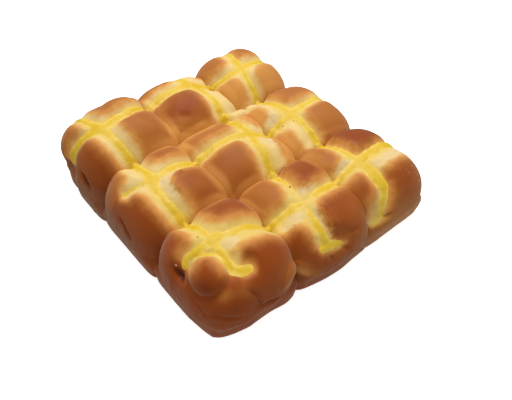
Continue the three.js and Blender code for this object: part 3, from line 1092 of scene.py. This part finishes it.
def risen_bread(settings):
    """Nine buns and the core under them, baked into one closed solid."""
    pieces = []
    for name, bun in BUNS.items():
        piece = rising_sheet(name, settings.fineness)
        move_vertices(piece, bun_points(bun, coordinates(piece) * MM, settings))
        pieces.append(piece)
    pieces.append(core_piece())
    for piece in pieces:
        pick(piece)
        bpy.ops.object.mode_set(mode="EDIT")
        bpy.ops.mesh.select_all(action="SELECT")
        bpy.ops.mesh.normals_make_consistent(inside=False)
        bpy.ops.object.mode_set(mode="OBJECT")
    for piece in pieces[1:]:
        apply_modifier(pieces[0], "BOOLEAN", operation="UNION", solver="MANIFOLD", object=piece)
        bpy.data.objects.remove(piece)
    return drop_scraps(pieces[0])


def keep_baking(bread, tin_depth):
    """Keeps on the bread's vertices the values that its finish reads."""
    points = coordinates(bread)
    x, y, _ = points.T
    to_custard, browned, dark = custard_beds(points, tin_depth)
    outward = bun_outward(points, np.array(list(BUNS.values()))[own_bun(x, y, tin_depth)])
    domes = np.sort(dome_heights(x, y, tin_depth), axis=1)
    inside = 1 - smooth(edge_share(x, y), *OPEN_ZONE)
    beside_dome = 1 - smooth(domes[:, -1] - domes[:, -2], *SHELTER_RISE)
    values = {
        "to_custard": np.clip(to_custard, *CUSTARD_RANGE),
        "browned": np.clip(browned, *BROWNED_RANGE),
        "dark": dark + tone_and_light_change(points),
        "torn": tear_share(x, y),
        "slit": slit_depth(points, outward),
        "shelter": (LEAST_SHELTER + (1 - LEAST_SHELTER) * inside) * beside_dome,
        "outside": smooth(edge_share(x, y), *OUTSIDE_ZONE),
    }
    for name, kept in values.items():
        keep_value(bread, name, kept)


def custard_reach(points, spread, tin_depth):
    """How far inside the ragged edge of the custard each point on the bread lies, below 0 outside."""
    x, y, z = points.T
    away, width = line_distances(STROKE_CURVES, x, y)
    floors = np.array([CUSTARD_FLOORS.get(name, CUSTARD_FLOOR) for name in BUNS])
    below = np.maximum(floors[own_bun(x, y, tin_depth)] - z, 0) * outer_share(x, y)
    below += np.maximum(tin_depth + CUSTARD_CLEARANCE - z, 0)
    ragged = two_ripples(points, EDGE_SIZES, EDGE_SEED)
    return (width * spread - abs(away)).max(axis=1) - CUSTARD_END_SLOPE * below + ragged


def custard_piece(bread, settings, tin_depth):
    """A layer of custard on the bread: the bread's skin under it, lifted, thickened and rounded."""
    piece = bpy.data.objects.new("custard_lines", bread.data.copy())
    bpy.context.collection.objects.link(piece)
    pick(piece)
    reach = custard_reach(coordinates(piece), settings.spread, tin_depth)
    bpy.ops.object.mode_set(mode="EDIT")
    bpy.ops.mesh.select_mode(type="FACE")
    bpy.ops.mesh.select_all(action="DESELECT")
    bpy.ops.object.mode_set(mode="OBJECT")
    for face in piece.data.polygons:
        face.select = bool(max(reach[corner] for corner in face.vertices) < -EDGE_MARGIN)
    bpy.ops.object.mode_set(mode="EDIT")
    bpy.ops.mesh.delete(type="FACE")
    bpy.ops.object.mode_set(mode="OBJECT")

    points = coordinates(piece)
    normals = np.empty(len(points) * 3, np.float32)
    piece.data.vertex_normals.foreach_get("vector", normals)
    crown = settings.crown / MM * (1 + CROWN_CHANGE * ripple(points, CROWN_SIZE, CROWN_SEED))
    reach = custard_reach(points, settings.spread, tin_depth)
    lift = crown * smooth(reach, *CROWN_REACHES) - EDGE_SINK
    move_vertices(piece, points + normals.reshape(-1, 3) * lift[:, None])
    apply_modifier(piece, "SOLIDIFY", thickness=CUSTARD_THICKNESS * MM, offset=-1)
    apply_modifier(piece, "REMESH", mode="VOXEL", voxel_size=CUSTARD_GRAIN * MM)
    apply_modifier(piece, "SMOOTH", factor=0.5, iterations=4)
    return drop_scraps(piece)


def bit_piece():
    """One bit: a ball made uneven and pressed flat, a millimetre in radius."""
    bpy.ops.object.select_all(action="DESELECT")
    bpy.ops.mesh.primitive_ico_sphere_add(subdivisions=2, radius=MM)
    piece = bpy.context.object
    points = coordinates(piece)
    points *= 1 + BIT_CHANGE * ripple(points, BIT_SIZE, BIT_SEED)[:, None]
    move_vertices(piece, points * BIT_SHAPE)
    return piece


def scatter(name, bread, places, size):
    """One piece of bits, half sunk into the bread at places in plan."""
    bit = bit_piece()
    shape = coordinates(bit)
    copies = []
    for number, (x, y, radius) in enumerate(places):
        _, spot, normal, _ = bread.ray_cast(Vector((x, y, ABOVE_SLAB)) * MM, Vector((0, 0, -1)))
        pick(bit)
        bpy.ops.object.duplicate()
        lie = normal.to_track_quat("Z", "Y").to_matrix() @ Matrix.Rotation(BIT_TURN * number, 3, "Z")
        move_vertices(bpy.context.object, shape * radius * size @ np.array(lie).T + np.array(spot) / MM)
        copies.append(bpy.context.object)
    bpy.data.objects.remove(bit)
    pick(*copies)
    bpy.ops.object.join()
    bpy.ops.object.shade_smooth()
    copies[0].name = name
    return copies[0]


def lay_floor(settings):
    """A plain floor that glows a little, and neither tints the bread nor mirrors in it."""
    bpy.ops.object.select_all(action="DESELECT")
    bpy.ops.mesh.primitive_plane_add(size=FLOOR_WIDTH)
    floor = bpy.context.object
    floor.name = "floor"
    paper = Finish("floor_paper")
    paper.paint(Base_Color=settings.floor_colour, Roughness=0.9)
    paper.paint(Emission_Color=(1, 1, 1), Emission_Strength=settings.floor_glow)
    dress(floor, paper.material)
    floor.visible_diffuse = False
    floor.visible_glossy = False


def hang_light(settings):
    """A broad soft light overhead, and even light from all round that mirrors in nothing."""
    bpy.ops.object.light_add(type="AREA", location=LIGHT_PLACE)
    light = bpy.context.object
    light.data.shape = "DISK"
    light.data.size = LIGHT_WIDTH
    light.data.energy = settings.key_power
    light.rotation_mode = "QUATERNION"
    light.rotation_quaternion = light.location.to_track_quat("Z", "Y")

    world = bpy.data.worlds.new("studio")
    world.use_nodes = True
    background = world.node_tree.nodes["Background"].inputs
    background["Color"].default_value = (1, 1, 1, 1)
    background["Strength"].default_value = settings.fill
    bpy.context.scene.world = world
    world.cycles_visibility.glossy = False
    bpy.context.scene.view_settings.view_transform = "Standard"


def set_camera(settings):
    """The camera, above the slab's near corner."""
    bpy.ops.object.camera_add()
    camera = bpy.context.object
    camera.data.lens = settings.lens
    camera.data.sensor_width = SENSOR_WIDTH
    camera.data.sensor_fit = "HORIZONTAL"
    camera.data.clip_start = NEAREST_SHOWN
    right = Vector(CAMERA_RIGHT).normalized()
    back = right.cross(Vector(CAMERA_UP)).normalized()
    up = back.cross(right)
    axes = Matrix((right, up, back)).transposed().to_4x4()
    camera.matrix_world = Matrix.Translation(CAMERA_PLACE) @ axes
    bpy.context.scene.camera = camera


class BUNS_OT_bread(bpy.types.Operator):
    """Raise nine buns and bake them into one slab"""

    bl_idname = "buns.bread"
    bl_label = "Bake bread"

    def execute(self, context):
        settings = context.scene.bun_bread
        bread = risen_bread(settings)
        bread.name = "bread_slab"
        keep_baking(bread, settings.tin_depth / MM)
        pick(bread)
        bpy.ops.object.shade_smooth_by_angle(angle=CREASE_ANGLE)
        dress(bread, CrustFinish(settings).baked())
        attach(bread, "root")
        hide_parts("bread")
        return {"FINISHED"}


class BUNS_OT_custard(bpy.types.Operator):
    """Pipe six lines of custard across the buns"""

    bl_idname = "buns.custard"
    bl_label = "Pipe custard"

    def execute(self, context):
        settings = context.scene.bun_custard
        tin_depth = context.scene.bun_bread.tin_depth / MM
        custard = custard_piece(bpy.data.objects["bread_slab"], settings, tin_depth)
        custard.name = "custard_lines"
        keep_value(custard, "reach", custard_reach(coordinates(custard), settings.spread, tin_depth))
        pick(custard)
        bpy.ops.object.shade_smooth()
        dress(custard, custard_finish(settings))
        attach(custard, "root")
        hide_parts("custard")
        return {"FINISHED"}


class BUNS_OT_bits(bpy.types.Operator):
    """Leave a few dark specks, and pale flecks that partly paint glints, on the crust"""

    bl_idname = "buns.bits"
    bl_label = "Scatter bits"

    def execute(self, context):
        settings = context.scene.bun_bits
        bread = bpy.data.objects["bread_slab"]
        kinds = (
            ("dark_specks", SPECKS, settings.speck_colour),
            ("pale_flecks_and_glints", PALE_FLECKS_AND_GLINTS, settings.fleck_and_glint_colour),
        )
        for name, places, tone in kinds:
            bits = scatter(name, bread, places, settings.size)
            dress(bits, bit_finish(name, tone))
            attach(bits, "root")
        return {"FINISHED"}


class BUNS_OT_stage(bpy.types.Operator):
    """Set the slab on a plain floor, in soft light, before the camera"""

    bl_idname = "buns.stage"
    bl_label = "Set stage"

    def execute(self, context):
        for place in (lay_floor, hang_light, set_camera):
            place(context.scene.bun_stage)
        return {"FINISHED"}


OPERATORS = (BUNS_OT_bread, BUNS_OT_custard, BUNS_OT_bits, BUNS_OT_stage)
SETTINGS = {
    "bun_bread": BreadSettings,
    "bun_custard": CustardSettings,
    "bun_bits": BitSettings,
    "bun_stage": StageSettings,
}


class BUNS_PT_panel(bpy.types.Panel):
    """Steps and settings of the custard buns"""

    bl_idname = "BUNS_PT_panel"
    bl_label = "Custard potato buns"
    bl_space_type = "VIEW_3D"
    bl_region_type = "UI"
    bl_category = "Buns"

    def draw(self, context):
        for operator in OPERATORS:
            self.layout.operator(operator.bl_idname)
        for name, group in SETTINGS.items():
            box = self.layout.box()
            for setting in group.__annotations__:
                box.prop(getattr(context.scene, name), setting)


CLASSES = (*SETTINGS.values(), *OPERATORS, BUNS_PT_panel)


def register():
    """Adds the settings, the steps and the panel to Blender."""
    for made in CLASSES:
        bpy.utils.register_class(made)
    for name, group in SETTINGS.items():
        setattr(bpy.types.Scene, name, bpy.props.PointerProperty(type=group))


def unregister():
    """Takes them out again."""
    for name in SETTINGS:
        delattr(bpy.types.Scene, name)
    for made in reversed(CLASSES):
        bpy.utils.unregister_class(made)


def main():
    """Makes the slab on its stage."""
    register()
    bpy.ops.buns.bread()
    bpy.ops.buns.custard()
    bpy.ops.buns.bits()
    bpy.ops.buns.stage()


if __name__ == "__main__":
    main()
